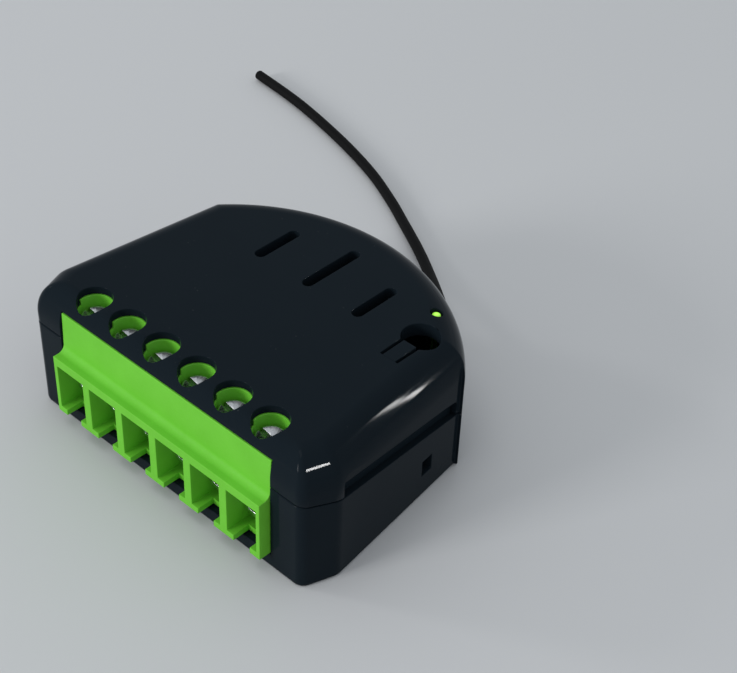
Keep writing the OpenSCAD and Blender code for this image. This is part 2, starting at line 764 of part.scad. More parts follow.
module fuse_resistor() color("#8fb7c9") {
    axis_z = board_top + fuse_r + fit;
    translate([fuse_at[0], fuse_at[1] - fuse_l / 2, axis_z]) rotate([-90, 0, 0])
        cylinder(r = fuse_r, h = fuse_l);
    translate([fuse_at[0], fuse_at[1] - fuse_lead, axis_z]) rotate([-90, 0, 0])
        cylinder(r = lead_r, h = 2 * fuse_lead, $fn = 24);
    leads(fuse_at, [0, fuse_lead], axis_z);
}

module chip(at, size) {
    translate([at[0] - size[0] / 2, at[1] - size[1] / 2, board_top]) cube(size);
}
module bridge_rectifier() color("#26282b") chip(bridge_at, bridge_size);
module converter_chip() color("#26282b") chip(chip_at, chip_size);

// Radio
module radio_board() color("#1f6b3a") chip(radio_at, radio_size);
module radio_chip() color("#26282b") translate([0, 0, radio_size[2]]) chip(radio_at, radio_chip_size);
module shield_can() color("#c9ccd0") translate([0, 0, radio_size[2]]) difference() {
    chip(radio_at, shield_size);
    translate([0, 0, -shield_t]) chip(radio_at, shield_size - [2 * shield_t, 2 * shield_t, 0]);
}

// Antenna: the lead from the board through the wall, and the free wire
module antenna_lead() color("#101214") {
    translate([antenna_x, antenna_in, antenna_z]) rotate([-90, 0, 0])
        cylinder(d = wire_d, h = antenna_out - antenna_in);
}

// Point on a smooth curve through the route, between points k and k + 1
function route_point(k) = antenna_route[max(0, min(len(antenna_route) - 1, k))];
function smooth(k, t) =
    let (a = route_point(k - 1), b = route_point(k), c = route_point(k + 1), d = route_point(k + 2))
    0.5 * (2 * b + (c - a) * t + (2 * a - 5 * b + 4 * c - d) * t * t + (3 * b - a - 3 * c + d) * t * t * t);
wire_points = concat(
    [for (k = [0:len(antenna_route) - 2]) for (j = [0:rings_per_span - 1]) smooth(k, j / rings_per_span)],
    [antenna_route[len(antenna_route) - 1]]);

module antenna_wire() color("#101214") {
    sides = 8;
    circle = [for (s = [0:sides - 1]) wire_d / 2 * [cos(360 * s / sides), sin(360 * s / sides)]];
    last = len(wire_points) - 1;
    way = [for (k = [0:last]) k == 0 ? [0, 1, 0] : unit(wire_points[min(last, k + 1)] - wire_points[k - 1])];
    points = [for (k = [0:last]) let (across = unit(cross(way[k], [0, 0, 1])), up = cross(across, way[k]))
        for (p = circle) wire_points[k] + p[0] * across + p[1] * up];
    faces = [for (k = [0:last - 1]) for (s = [0:sides - 1])
        let (a = k * sides + s, b = k * sides + (s + 1) % sides)
        each [[a, b + sides, a + sides], [a, b, b + sides]]];
    first_end = [for (s = [sides - 1:-1:0]) s];
    free_end = [for (s = [0:sides - 1]) last * sides + s];
    polyhedron(points, concat([first_end], faces, [free_end]));
}

lower_shell();
top_cover();
service_button();
light_pipe();
status_led();
circuit_board();
terminal_housing();
terminal_screw(1);  // terminal_screw_1
terminal_screw(2);  // terminal_screw_2
terminal_screw(3);  // terminal_screw_3
terminal_screw(4);  // terminal_screw_4
terminal_screw(5);  // terminal_screw_5
terminal_screw(6);  // terminal_screw_6
clamp_cage(1);  // clamp_cage_1
clamp_cage(2);  // clamp_cage_2
clamp_cage(3);  // clamp_cage_3
clamp_cage(4);  // clamp_cage_4
clamp_cage(5);  // clamp_cage_5
clamp_cage(6);  // clamp_cage_6
contact_bar(1);  // contact_bar_1
contact_bar(2);  // contact_bar_2
contact_bar(3);  // contact_bar_3
contact_bar(4);  // contact_bar_4
contact_bar(5);  // contact_bar_5
contact_bar(6);  // contact_bar_6
relay_base();
relay_cover();
relay_bobbin();
relay_coil();
relay_core();
relay_yoke();
relay_armature();
relay_blade();
relay_contact_closed();
relay_contact_open();
relay_coil_pins();
switch_body();
switch_dome();
switch_plunger();
film_capacitor();
varistor();
capacitor_1();
capacitor_2();
inductor_core();
inductor_winding();
fuse_resistor();
bridge_rectifier();
converter_chip();
radio_board();
radio_chip();
shield_can();
antenna_lead();
antenna_wire();
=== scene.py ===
import math

import bmesh
import bpy
from mathutils import Matrix, Quaternion, Vector


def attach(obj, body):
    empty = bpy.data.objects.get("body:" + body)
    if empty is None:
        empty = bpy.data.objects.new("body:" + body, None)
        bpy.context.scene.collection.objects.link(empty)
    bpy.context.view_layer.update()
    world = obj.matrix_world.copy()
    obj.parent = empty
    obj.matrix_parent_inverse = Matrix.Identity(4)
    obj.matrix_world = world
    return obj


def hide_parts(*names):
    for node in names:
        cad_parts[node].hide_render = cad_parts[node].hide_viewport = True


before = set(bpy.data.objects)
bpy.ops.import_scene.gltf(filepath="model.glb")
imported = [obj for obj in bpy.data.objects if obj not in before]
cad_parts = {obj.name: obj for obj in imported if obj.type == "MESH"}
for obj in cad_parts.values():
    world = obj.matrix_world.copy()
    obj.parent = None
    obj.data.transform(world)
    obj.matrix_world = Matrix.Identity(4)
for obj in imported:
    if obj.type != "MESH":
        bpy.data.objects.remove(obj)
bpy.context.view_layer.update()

# Camera
# It stands above the front right corner of the case, at the photograph's viewing angle and distance,
# with the slight roll of that picture.
azimuth, elevation, roll = math.radians(41.822), math.radians(39.287), math.radians(2.286)
camera_data = bpy.data.cameras.new("camera")
camera_data.lens = 78.47
camera_data.sensor_width = 36
camera_data.clip_start = 0.01
camera_data.clip_end = 10
camera = bpy.data.objects.new("camera", camera_data)
bpy.context.scene.collection.objects.link(camera)
bpy.context.scene.camera = camera
back = Vector((math.sin(azimuth) * math.cos(elevation), -math.cos(azimuth) * math.cos(elevation),
               math.sin(elevation)))
level = Vector((math.cos(azimuth), math.sin(azimuth), 0))
upright = back.cross(level)
right = math.cos(roll) * level + math.sin(roll) * upright
up = math.cos(roll) * upright - math.sin(roll) * level
aim = Matrix((right, up, back)).transposed().to_4x4()
camera_place = (0.09093, -0.08758, 0.11410)
camera.matrix_world = Matrix.Translation(camera_place) @ aim

# Antenna wire
# A quarter-wave length of stranded wire in black PVC insulation, cut off square with a softened end.
# It leaves the back of the case through a plain hole, is soldered to the radio board, and lies loose.
MM = 0.001
WIRE_D, WIRE_STEPS, WIRE_SIDES = 1.3, 12, 24
wire_route = [
    (5, 16.6, 4.3), (5, 18.5, 4.3), (4.4, 20.5, 4.1), (3, 22.6, 3.6), (0.6, 24.8, 2.8), (-3, 27.8, 1.7),
    (-8, 31.4, 1), (-14, 35, 0.7), (-18, 37.2, 0.7), (-24, 40, 0.7), (-32, 42.7, 0.7), (-42, 45.2, 0.7),
    (-51.5, 46.6, 0.7)]


def smooth_line(points, steps):
    """Points of a smooth curve through the given ones."""
    points = [Vector(p) for p in points]
    line = []
    for k in range(len(points) - 1):
        a, b = points[max(0, k - 1)], points[k]
        c, d = points[k + 1], points[min(len(points) - 1, k + 2)]
        for j in range(steps):
            t = j / steps
            line.append(0.5 * (2 * b + (c - a) * t + (2 * a - 5 * b + 4 * c - d) * t * t
                               + (3 * b - a - 3 * c + d) * t ** 3))
    return line + [points[-1]]


def loft(rings):
    """A closed skin over rings that have the same number of points."""
    shape = bmesh.new()
    rows = [[shape.verts.new(p) for p in ring] for ring in rings]
    count = len(rows[0])
    for low, high in zip(rows, rows[1:]):
        for k in range(count):
            shape.faces.new((low[k], low[(k + 1) % count], high[(k + 1) % count], high[k]))
    shape.faces.new(list(reversed(rows[0])))
    shape.faces.new(rows[-1])
    return shape


def make_piece(name, shape, material, sharp_from=35):
    """An object in metres from a shape in millimetres, smooth except at its sharp edges."""
    shape.normal_update()
    for face in shape.faces:
        face.smooth = True
    for edge in shape.edges:
        edge.smooth = edge.calc_face_angle(0) < math.radians(sharp_from)
    bmesh.ops.scale(shape, vec=(MM, MM, MM), verts=shape.verts)
    mesh = bpy.data.meshes.new(name)
    shape.to_mesh(mesh)
    shape.free()
    mesh.materials.append(material)
    piece = bpy.data.objects.new(name, mesh)
    bpy.context.scene.collection.objects.link(piece)
    flats = piece.modifiers.new("even_flats", "WEIGHTED_NORMAL")
    flats.keep_sharp = True
    return piece


def add_node(tree, kind, inputs=None, **settings):
    """A shader node with its settings, and with a value or a link for each named input."""
    node = tree.nodes.new(kind)
    for key, value in settings.items():
        setattr(node, key, value)
    for key, value in (inputs or {}).items():
        if isinstance(value, bpy.types.NodeSocket):
            tree.links.new(value, node.inputs[key])
        else:
            node.inputs[key].default_value = value
    return node


def new_group(name, inputs, outputs):
    """An empty shader node group with named sockets, and its input and output nodes."""
    tree = bpy.data.node_groups.new(name, "ShaderNodeTree")
    for label, value in inputs.items():
        kind = "NodeSocketColor" if isinstance(value, tuple) else "NodeSocketFloat"
        tree.interface.new_socket(label, in_out="INPUT", socket_type=kind).default_value = value
    for label, kind in outputs.items():
        tree.interface.new_socket(label, in_out="OUTPUT", socket_type=kind)
    return tree, tree.nodes.new("NodeGroupInput"), tree.nodes.new("NodeGroupOutput")


def stretch(tree, value, low, high, to_low=0.0, to_high=1.0):
    """The value moved from one range to another, kept inside it."""
    node = add_node(tree, "ShaderNodeMapRange", {"Value": value, "From Min": low, "From Max": high,
                                                 "To Min": to_low, "To Max": to_high})
    return node.outputs["Result"]


def reckon(tree, operation, first, second):
    """One sum of two values."""
    return add_node(tree, "ShaderNodeMath", {0: first, 1: second}, operation=operation).outputs["Value"]


def tint(tree, factor, first, second):
    """Two colours mixed by a factor."""
    node = add_node(tree, "ShaderNodeMix", {"Factor": factor, 6: first, 7: second}, data_type="RGBA")
    return node.outputs[2]


def use_group(tree, group, **values):
    """A node group placed in a material with its own values."""
    node = tree.nodes.new("ShaderNodeGroup")
    node.node_tree = group
    for key, value in values.items():
        node.inputs[key.replace("_", " ").capitalize()].default_value = value
    return node


def new_material(name):
    """A material, its node tree and its shader."""
    material = bpy.data.materials.new(name)
    material.use_nodes = True
    return material, material.node_tree, material.node_tree.nodes["Principled BSDF"]


def bump(tree, shader, height, depth):
    """Relief of that depth in metres on the shader's normal."""
    node = add_node(tree, "ShaderNodeBump", {"Height": height, "Distance": depth, "Strength": 1.0})
    tree.links.new(node.outputs["Normal"], shader.inputs["Normal"])


# The skin that a mould or an extruder leaves: fine grain, and slow swells of tone and height
moulded_skin, skin_in, skin_out = new_group(
    "moulded_skin", {"Grain scale": 4000.0, "Swell scale": 250.0},
    {"Grain": "NodeSocketFloat", "Swell": "NodeSocketFloat", "Height": "NodeSocketFloat"})
place = add_node(moulded_skin, "ShaderNodeTexCoord").outputs["Object"]
grain = add_node(moulded_skin, "ShaderNodeTexNoise", {
    "Vector": place, "Scale": skin_in.outputs["Grain scale"], "Detail": 3.0}).outputs["Fac"]
swell = add_node(moulded_skin, "ShaderNodeTexNoise", {
    "Vector": place, "Scale": skin_in.outputs["Swell scale"], "Detail": 2.0}).outputs["Fac"]
moulded_skin.links.new(grain, skin_out.inputs["Grain"])
moulded_skin.links.new(swell, skin_out.inputs["Swell"])
moulded_skin.links.new(reckon(moulded_skin, "ADD", reckon(moulded_skin, "MULTIPLY", grain, 0.25), swell),
                       skin_out.inputs["Height"])

# The range that nearly all of a noise lies in
NOISE_LOW, NOISE_HIGH = 0.3, 0.7
WIRE_DARK, WIRE_LIGHT = (0.0016, 0.0016, 0.0018, 1), (0.003, 0.003, 0.0034, 1)
wire_black, tree, shader = new_material("wire_black")
skin = use_group(tree, moulded_skin, grain_scale=9000.0, swell_scale=900.0)
tree.links.new(tint(tree, skin.outputs["Swell"], WIRE_DARK, WIRE_LIGHT), shader.inputs["Base Color"])
dullness = stretch(tree, skin.outputs["Grain"], NOISE_LOW, NOISE_HIGH, 0.55, 0.7)
tree.links.new(dullness, shader.inputs["Roughness"])
shader.inputs["Specular IOR Level"].default_value = 0.1
bump(tree, shader, skin.outputs["Height"], 0.00001)


def tube(line, radii, sides):
    """A round tube along a line of points, with one radius for each point."""
    rings = []
    side = Vector((0, 0, 1))
    for k, point in enumerate(line):
        ahead = (line[min(k + 1, len(line) - 1)] - line[max(k - 1, 0)]).normalized()
        side = (side - ahead * side.dot(ahead)).normalized()
        other = ahead.cross(side)
        rings.append([point + radii[k] * (math.cos(a) * side + math.sin(a) * other)
                      for a in (2 * math.pi * s / sides for s in range(sides))])
    return loft(rings)


wire_line = smooth_line(wire_route, WIRE_STEPS)
wire_radii = [WIRE_D / 2] * len(wire_line)
end_way = (wire_line[-1] - wire_line[-2]).normalized()
soft_end = 0.16
soft_from = wire_line[-1] - end_way * soft_end
wire_line[-1] = soft_from
for turn in (30, 60, 90):
    angle = math.radians(turn)
    wire_line.append(soft_from + end_way * soft_end * math.sin(angle))
    wire_radii.append(WIRE_D / 2 - soft_end * (1 - math.cos(angle)))
antenna = make_piece("antenna_insulation", tube(wire_line, wire_radii, WIRE_SIDES), wire_black, sharp_from=50)
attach(antenna, "module")
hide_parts("antenna_wire")


def dress(material, *names):
    """Gives CAD nodes their material."""
    for name in names:
        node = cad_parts[name]
        node.data.materials.clear()
        node.data.materials.append(material)


dress(wire_black, "antenna_lead")

# Lower shell
# The tub of the case, injection moulded in glossy black flame-retardant plastic with cut-off front corners.
# A thin inner rim stands above its sloping edge and locates the cover, whose hooks catch in two windows.
WALL, TUB_FLOOR, FRONT_SHARE = 1.3, 1.4, 0.75
BACK_Y, FRONT_Y, BACK_R = 16.8, -15.5, 23.5
ARC_Y, ARC_STEPS = BACK_Y - BACK_R, 48
SHOULDER_Y, SHOULDER_SOFT, FACET_SOFT = 7.5, 0.2, 0.5
FRONT_ROUND, LEAST_FRONT_ROUND = 1.2, 0.5
SEAM_Z, SEAM_SLOPE = 10.5, math.tan(math.radians(8.4))
SEAM_SOFT, SEAM_SOFT_MIDDLE = 0.1, 0.03
RIM_IN, RIM_RISE, FIT = 0.7, 0.9, 0.1
corner_1, corner_2, wall_end = Vector((19.15, FRONT_Y)), Vector((20.5, -11.8)), Vector((18.3, SHOULDER_Y))


def seam_at(y):
    """Height of the sloping seam."""
    return SEAM_Z - (y - FRONT_Y) * SEAM_SLOPE


def above_seam(lift):
    """Rule for a height above the seam."""
    return lambda y: seam_at(y) + lift


def meet(p, u, q, v):
    """Point where two flat lines cross."""
    return p + u * ((q - p).cross(v) / u.cross(v))


def soft_corner(before, corner, after, reach, steps):
    """Points that round a corner off, starting and ending at most that far from it."""
    a = corner + (before - corner).normalized() * min(reach, (before - corner).length * 0.45)
    c = corner + (after - corner).normalized() * min(reach, (after - corner).length * 0.45)
    return [a * (1 - t) ** 2 + corner * 2 * t * (1 - t) + c * t * t
            for t in (k / steps for k in range(steps + 1))]


def round_corner(before, corner, after, radius, steps):
    """Points of a round corner of that radius."""
    u, v = (before - corner).normalized(), (after - corner).normalized()
    half = u.angle(v) / 2
    middle = corner + (u + v).normalized() * radius / math.sin(half)
    start, end = corner + u * radius / math.tan(half) - middle, corner + v * radius / math.tan(half) - middle
    first, sweep = math.atan2(start.y, start.x), math.atan2(start.cross(end), start.dot(end))
    return [middle + radius * Vector((math.cos(a), math.sin(a)))
            for a in (first + sweep * k / steps for k in range(steps + 1))]


def case_outline(inset):
    """The case's outline from above, moved inward."""
    facet, side = corner_2 - corner_1, wall_end - corner_2
    facet_in = Vector((-facet.y, facet.x)).normalized() * inset
    side_in = Vector((-side.y, side.x)).normalized() * inset
    front = Vector((0, FRONT_Y + inset * FRONT_SHARE))
    first = meet(front, Vector((1, 0)), corner_1 + facet_in, facet)
    second = meet(corner_1 + facet_in, facet, corner_2 + side_in, side)
    slope, radius = side.x / side.y, BACK_R - inset
    lean, at_arc = 1 + slope * slope, second.x + slope * (ARC_Y - second.y)
    crossing = ARC_Y + (-slope * at_arc + math.sqrt(lean * radius * radius - at_arc * at_arc)) / lean
    last_step_y = crossing - 0.3
    stepped = SHOULDER_Y + inset < last_step_y
    step_y = min(SHOULDER_Y + inset, last_step_y)
    end = Vector((second.x + slope * (step_y - second.y), step_y))
    angle = math.asin(((step_y if stepped else crossing) - ARC_Y) / radius)
    arc = [Vector((radius * math.cos(a), ARC_Y + radius * math.sin(a)))
           for a in (angle + (math.pi / 2 - angle) * k / ARC_STEPS for k in range(ARC_STEPS + 1))]
    points = round_corner(front, first, second, max(FRONT_ROUND - inset / 2, LEAST_FRONT_ROUND), 8)
    points += soft_corner(first, second, end, FACET_SOFT, 6)
    points += [second.lerp(end, t) for t in (0.2, 0.4, 0.6, 0.8)]
    points += soft_corner(second, end, arc[0], SHOULDER_SOFT, 4)
    points += soft_corner(end, arc[0], arc[1], SHOULDER_SOFT, 4) + arc[2:]
    return points + [Vector((-p.x, p.y)) for p in points[-2::-1]]


def case_ring(inset, height):
    """A ring of the case at a height or a rule for it, moved inward."""
    return [Vector((p.x, p.y, height(p.y) if callable(height) else height)) for p in case_outline(inset)]


def box_shape(low, high):
    """A box between two corners."""
    shape = bmesh.new()
    bmesh.ops.create_cube(shape, size=1)
    low, high = Vector(low), Vector(high)
    for v in shape.verts:
        v.co = Vector((a + (b - a) * (c + 0.5) for a, b, c in zip(low, high, v.co)))
    return shape


def rod_shape(base, axis, radius, length, sides=64):
    """A round rod from its base along an axis."""
    shape = bmesh.new()
    bmesh.ops.create_cone(shape, cap_ends=True, segments=sides, radius1=radius, radius2=radius, depth=length)
    turn = Vector((0, 0, 1)).rotation_difference(Vector(axis)).to_matrix().to_4x4()
    move = Matrix.Translation(Vector(base)) @ turn @ Matrix.Translation((0, 0, length / 2))
    bmesh.ops.transform(shape, matrix=move, verts=shape.verts)
    return shape


def together(shapes):
    """Several shapes that don't touch, as one."""
    whole = bmesh.new()
    for shape in shapes:
        part = bpy.data.meshes.new("part")
        shape.to_mesh(part)
        shape.free()
        whole.from_mesh(part)
        bpy.data.meshes.remove(part)
    return whole


def cut_away(shape, *cutters):
    """The shape with the cutters taken out of it."""
    bench = []
    for part in (shape, *cutters):
        mesh = bpy.data.meshes.new("bench")
        part.to_mesh(mesh)
        part.free()
        bench.append(bpy.data.objects.new("bench", mesh))
        bpy.context.scene.collection.objects.link(bench[-1])
    for tool in bench[1:]:
        cut = bench[0].modifiers.new("cut", "BOOLEAN")
        cut.operation = "DIFFERENCE"
        cut.solver = "EXACT"
        cut.object = tool
    bpy.context.view_layer.update()
    whole = bpy.data.meshes.new_from_object(bench[0].evaluated_get(bpy.context.evaluated_depsgraph_get()))
    result = bmesh.new()
    result.from_mesh(whole)
    for tool in bench:
        mesh = tool.data
        bpy.data.objects.remove(tool)
        bpy.data.meshes.remove(mesh)
    bpy.data.meshes.remove(whole)
    bmesh.ops.remove_doubles(result, verts=result.verts, dist=0.003)
    bmesh.ops.dissolve_degenerate(result, dist=0.003, edges=result.edges)
    return result


def round_edges(shape, width, chosen=None, sharper_than=40, segments=3):
    """Rounds the sharp edges whose middle is chosen."""
    shape.normal_update()
    edges = [e for e in shape.edges if len(e.link_faces) == 2
             and e.calc_face_angle(0) > math.radians(sharper_than)
             and (chosen is None or chosen((e.verts[0].co + e.verts[1].co) / 2))]
    bmesh.ops.bevel(shape, geom=edges, offset=width, offset_type="OFFSET", segments=segments, profile=0.5,
                    affect="EDGES", clamp_overlap=False, loop_slide=False)
    return shape


# Marks of handling on a glossy moulding: faint smudges and a few hair scratches
handling_marks, marks_in, marks_out = new_group(
    "handling_marks", {"Scale": 60.0}, {"Smudge": "NodeSocketFloat", "Scratch": "NodeSocketFloat"})
place = add_node(handling_marks, "ShaderNodeTexCoord").outputs["Object"]
cloud = add_node(handling_marks, "ShaderNodeTexNoise", {
    "Vector": place, "Scale": marks_in.outputs["Scale"], "Detail": 5.0, "Roughness": 0.6}).outputs["Fac"]
handling_marks.links.new(stretch(handling_marks, cloud, 0.45, 0.75), marks_out.inputs["Smudge"])
long_way = add_node(handling_marks, "ShaderNodeMapping", {
    "Vector": place, "Rotation": (0.2, 0.1, 0.7), "Scale": (2200.0, 130.0, 1300.0)}).outputs["Vector"]
hair = add_node(handling_marks, "ShaderNodeTexVoronoi", {"Vector": long_way, "Scale": 1.0},
                feature="DISTANCE_TO_EDGE").outputs["Distance"]
sparse = add_node(handling_marks, "ShaderNodeTexNoise", {"Vector": place, "Scale": 320.0}).outputs["Fac"]
line_mask = stretch(handling_marks, hair, 0.0, 0.03, 1.0, 0.0)
handling_marks.links.new(reckon(handling_marks, "MULTIPLY", line_mask,
                                stretch(handling_marks, sparse, 0.58, 0.72)), marks_out.inputs["Scratch"])

# Dust that has settled on the faces that look up
settled_dust, dust_in, dust_out = new_group("settled_dust", {"Amount": 0.5}, {"Dust": "NodeSocketFloat"})
place = add_node(settled_dust, "ShaderNodeTexCoord").outputs["Object"]
facing = add_node(settled_dust, "ShaderNodeSeparateXYZ", {
    "Vector": add_node(settled_dust, "ShaderNodeNewGeometry").outputs["Normal"]}).outputs["Z"]
speck = add_node(settled_dust, "ShaderNodeTexVoronoi", {"Vector": place, "Scale": 1500.0}).outputs["Distance"]
thin = add_node(settled_dust, "ShaderNodeTexNoise", {
    "Vector": place, "Scale": 500.0, "Detail": 2.0}).outputs["Fac"]
specks = reckon(settled_dust, "MULTIPLY", stretch(settled_dust, speck, 0.03, 0.12, 1.0, 0.0),
                stretch(settled_dust, thin, 0.55, 0.75))
specks = reckon(settled_dust, "MULTIPLY", specks, stretch(settled_dust, facing, 0.3, 0.9))
settled_dust.links.new(reckon(settled_dust, "MULTIPLY", specks, dust_in.outputs["Amount"]),
                       dust_out.inputs["Dust"])

case_black, tree, shader = new_material("case_black")
skin = use_group(tree, moulded_skin, grain_scale=5000.0, swell_scale=180.0)
marks = use_group(tree, handling_marks, scale=70.0)
dust = use_group(tree, settled_dust, amount=0.25)
JET_DARK, JET_LIGHT = (0.0077, 0.0125, 0.017, 1), (0.0087, 0.0139, 0.0186, 1)
DUST_GREY = (0.22, 0.22, 0.21, 1)
plastic = tint(tree, skin.outputs["Swell"], JET_DARK, JET_LIGHT)
tree.links.new(tint(tree, dust.outputs["Dust"], plastic, DUST_GREY), shader.inputs["Base Color"])
gloss = stretch(tree, marks.outputs["Smudge"], 0.0, 1.0, 0.05, 0.09)
gloss = reckon(tree, "ADD", gloss, reckon(tree, "MULTIPLY", marks.outputs["Scratch"], 0.12))
tree.links.new(reckon(tree, "ADD", gloss, reckon(tree, "MULTIPLY", dust.outputs["Dust"], 0.5)),
               shader.inputs["Roughness"])
bump(tree, shader, skin.outputs["Height"], 0.000001)
shader.inputs["Specular IOR Level"].default_value = 0.03

bottom_round = ((0.4, 0), (0.22, 0.03), (0.08, 0.14), (0, 0.4))
rings = [case_ring(inset, z) for inset, z in bottom_round]
rings += [case_ring(0, above_seam(-SEAM_SOFT)), case_ring(SEAM_SOFT_MIDDLE, above_seam(-SEAM_SOFT_MIDDLE)),
          case_ring(SEAM_SOFT, above_seam(0)), case_ring(RIM_IN, above_seam(0)),
          case_ring(RIM_IN, above_seam(RIM_RISE)), case_ring(WALL, above_seam(RIM_RISE)),
          case_ring(WALL, TUB_FLOOR)]
OPENING_X, OPENING_Y, LIP_H = 15.1, FRONT_Y + WALL + FIT, 1.7
AHEAD_OF_CASE, ABOVE_CASE = -18, 30
WINDOW_W, WINDOW_LOW, WINDOW_HIGH = 1.6, 2.85, 4.8
SIDE_DRAW_IN, SIDE_RUN = 2.2, 19.3
LATCH_Y, TAPER = 2.35, math.atan2(SIDE_DRAW_IN, SIDE_RUN)
POST_R, POST_H = 1.2, 1
latch_x = wall_end.x + (SHOULDER_Y - LATCH_Y) * math.tan(TAPER)


def on_side_wall(shape, side, x, y):
    """The shape moved to a place on the right side wall and turned along it, or mirrored to the left one."""
    move = Matrix.Translation((x, y, 0)) @ Matrix.Rotation(TAPER, 4, "Z")
    bmesh.ops.transform(shape, matrix=Matrix.Diagonal((side, 1, 1, 1)) @ move, verts=shape.verts)
    bmesh.ops.recalc_face_normals(shape, faces=shape.faces)
    return shape


def shell_edge(p):
    """Whether an edge of the shell is rounded: the front lip, the latch windows or the antenna's hole."""
    at_window = abs(p.x) > 18 and 2.6 < p.z < 5.1
    return p.y < -15.2 or at_window or p.y > 16


def place_piece(name, shape, material, body, node):
    """A detailed piece in the place of a CAD node, on that node's body and with its finish."""
    piece = make_piece(name, shape, material)
    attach(piece, body)
    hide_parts(node)


windows = []
for side in (1, -1):
    window = box_shape((-2 * WALL, -WINDOW_W / 2, WINDOW_LOW), (1, WINDOW_W / 2, WINDOW_HIGH))
    windows.append(on_side_wall(window, side, latch_x, LATCH_Y))
wire_hole = rod_shape((wire_route[0][0], 10, wire_route[0][2]), (0, 1, 0), WIRE_D / 2 + FIT,
                      length=20, sides=40)
shell = cut_away(loft(rings),
                 box_shape((-OPENING_X, AHEAD_OF_CASE, LIP_H), (OPENING_X, OPENING_Y, ABOVE_CASE)),
                 together(windows), wire_hole)
posts = [rod_shape((side * x, y, TUB_FLOOR), (0, 0, 1), POST_R, POST_H, sides=32)
         for x, y in ((16.6, -10.4), (9.5, 11.2)) for side in (1, -1)]
round_edges(shell, 0.09, shell_edge)
place_piece("shell_moulding", together([shell] + posts), case_black, "module", "lower_shell")

# Circuit board and the parts on it
# A two-sided board in green solder resist lies on the shell's four posts and carries the mains supply,
# the radio and the terminals, all soldered into it.
def moulded(name, dark, light, rough, grain_scale=4000.0, swell_scale=400.0, depth=0.000004, shine=0.5):
    """A moulded, coated or sintered finish between two tones, with a range of roughness."""
    material, tree, shader = new_material(name)
    skin = use_group(tree, moulded_skin, grain_scale=grain_scale, swell_scale=swell_scale)
    tone = stretch(tree, skin.outputs["Swell"], NOISE_LOW, NOISE_HIGH)
    dullness = stretch(tree, skin.outputs["Grain"], NOISE_LOW, NOISE_HIGH, *rough)
    tree.links.new(tint(tree, tone, (*dark, 1), (*light, 1)), shader.inputs["Base Color"])
    tree.links.new(dullness, shader.inputs["Roughness"])
    bump(tree, shader, skin.outputs["Height"], depth)
    shader.inputs["Specular IOR Level"].default_value = shine
    return material


# Metal that was drawn or rolled and then plated: fine lines, and clouds of dulling
drawn_metal, drawn_in, drawn_out = new_group(
    "drawn_metal", {"Scale": 1.0}, {"Lines": "NodeSocketFloat", "Dulling": "NodeSocketFloat"})
place = add_node(drawn_metal, "ShaderNodeTexCoord").outputs["Object"]
long_way = add_node(drawn_metal, "ShaderNodeMapping", {
    "Vector": place, "Scale": (1.0, 0.06, 1.0)}).outputs["Vector"]
lines = add_node(drawn_metal, "ShaderNodeTexNoise", {
    "Vector": long_way, "Scale": drawn_in.outputs["Scale"], "Detail": 3.0}).outputs["Fac"]
cloud = add_node(drawn_metal, "ShaderNodeTexNoise", {
    "Vector": place, "Scale": 900.0, "Detail": 4.0}).outputs["Fac"]
drawn_metal.links.new(lines, drawn_out.inputs["Lines"])
drawn_metal.links.new(cloud, drawn_out.inputs["Dulling"])


def metal(name, dark, light, rough, scale=9000.0):
    """A plated or bare metal between two tones, with a range of roughness."""
    material, tree, shader = new_material(name)
    drawn = use_group(tree, drawn_metal, scale=scale)
    tone = stretch(tree, drawn.outputs["Dulling"], NOISE_LOW, NOISE_HIGH)
    dullness = stretch(tree, drawn.outputs["Lines"], NOISE_LOW, NOISE_HIGH, *rough)
    tree.links.new(tint(tree, tone, (*dark, 1), (*light, 1)), shader.inputs["Base Color"])
    tree.links.new(dullness, shader.inputs["Roughness"])
    shader.inputs["Metallic"].default_value = 1.0
    bump(tree, shader, drawn.outputs["Lines"], 0.0000015)
    return material


board_green = moulded("board_green", (0.004, 0.05, 0.016), (0.007, 0.08, 0.026), (0.25, 0.4))
chip_black = moulded("chip_black", (0.006, 0.006, 0.007), (0.012, 0.012, 0.013), (0.45, 0.65))
film_yellow = moulded("film_yellow", (0.55, 0.31, 0.02), (0.66, 0.39, 0.035), (0.25, 0.4))
varistor_blue = moulded("varistor_blue", (0.012, 0.05, 0.25), (0.02, 0.075, 0.34), (0.2, 0.35))
can_sleeve = moulded("can_sleeve", (0.006, 0.007, 0.012), (0.01, 0.012, 0.02), (0.2, 0.35))
resistor_blue = moulded("resistor_blue", (0.14, 0.32, 0.42), (0.18, 0.38, 0.5), (0.3, 0.45))
ferrite = moulded("ferrite", (0.011, 0.011, 0.012), (0.02, 0.02, 0.021), (0.5, 0.75))
copper = metal("copper", (0.42, 0.12, 0.03), (0.62, 0.22, 0.07), (0.25, 0.4))
steel_plated = metal("steel_plated", (0.58, 0.59, 0.6), (0.7, 0.71, 0.72), (0.1, 0.2))
dress(board_green, "circuit_board", "radio_board")
dress(chip_black, "bridge_rectifier", "converter_chip", "radio_chip")
dress(film_yellow, "film_capacitor")
dress(varistor_blue, "varistor")
dress(can_sleeve, "capacitor_1", "capacitor_2")
dress(resistor_blue, "fuse_resistor")
dress(ferrite, "inductor_core")
dress(copper, "inductor_winding")
dress(steel_plated, "shield_can")

